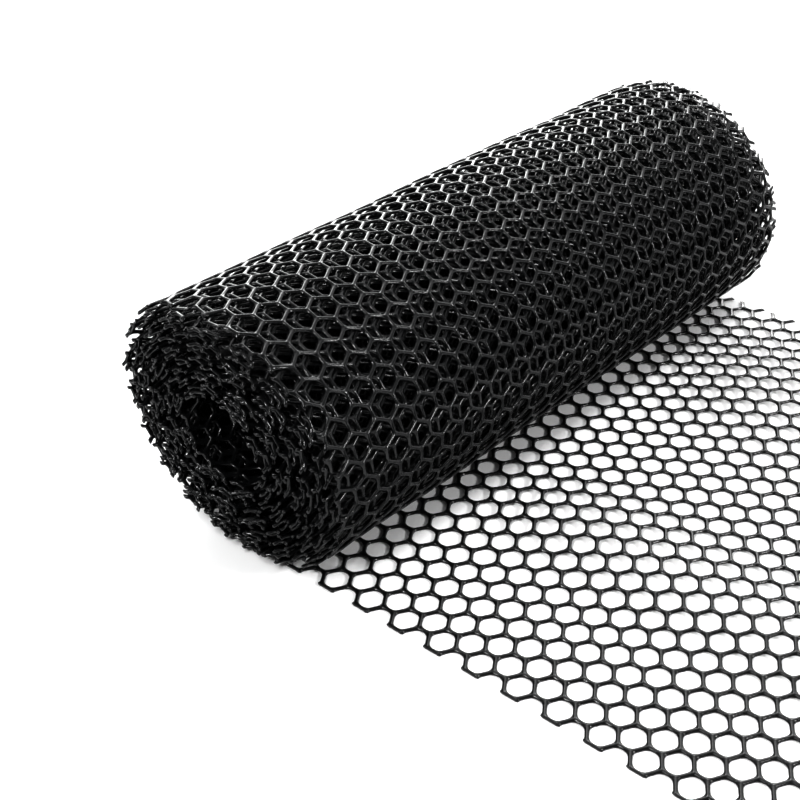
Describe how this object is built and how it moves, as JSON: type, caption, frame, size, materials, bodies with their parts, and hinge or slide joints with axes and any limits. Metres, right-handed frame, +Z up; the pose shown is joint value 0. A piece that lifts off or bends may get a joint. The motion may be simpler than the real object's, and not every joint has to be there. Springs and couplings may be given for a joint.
{
  "type": "cat netting roll",
  "caption": "Roll of black hexagonal plastic netting, partly unrolled, with an open core and a loose flat sheet that leaves the roll at the floor.",
  "frame": {"origin": "middle of the whole part's footprint, on the floor", "axes": "+X along the roll, +Y away from the loose sheet, +Z up"},
  "size_m": [0.4128, 0.3702, 0.1361],
  "materials": {
    "net_plastic": "glossy black extruded polyethylene"
  },
  "bodies": {
    "root": {"wound_roll": "net_plastic", "loose_sheet": "net_plastic"}
  },
  "joints": []
}
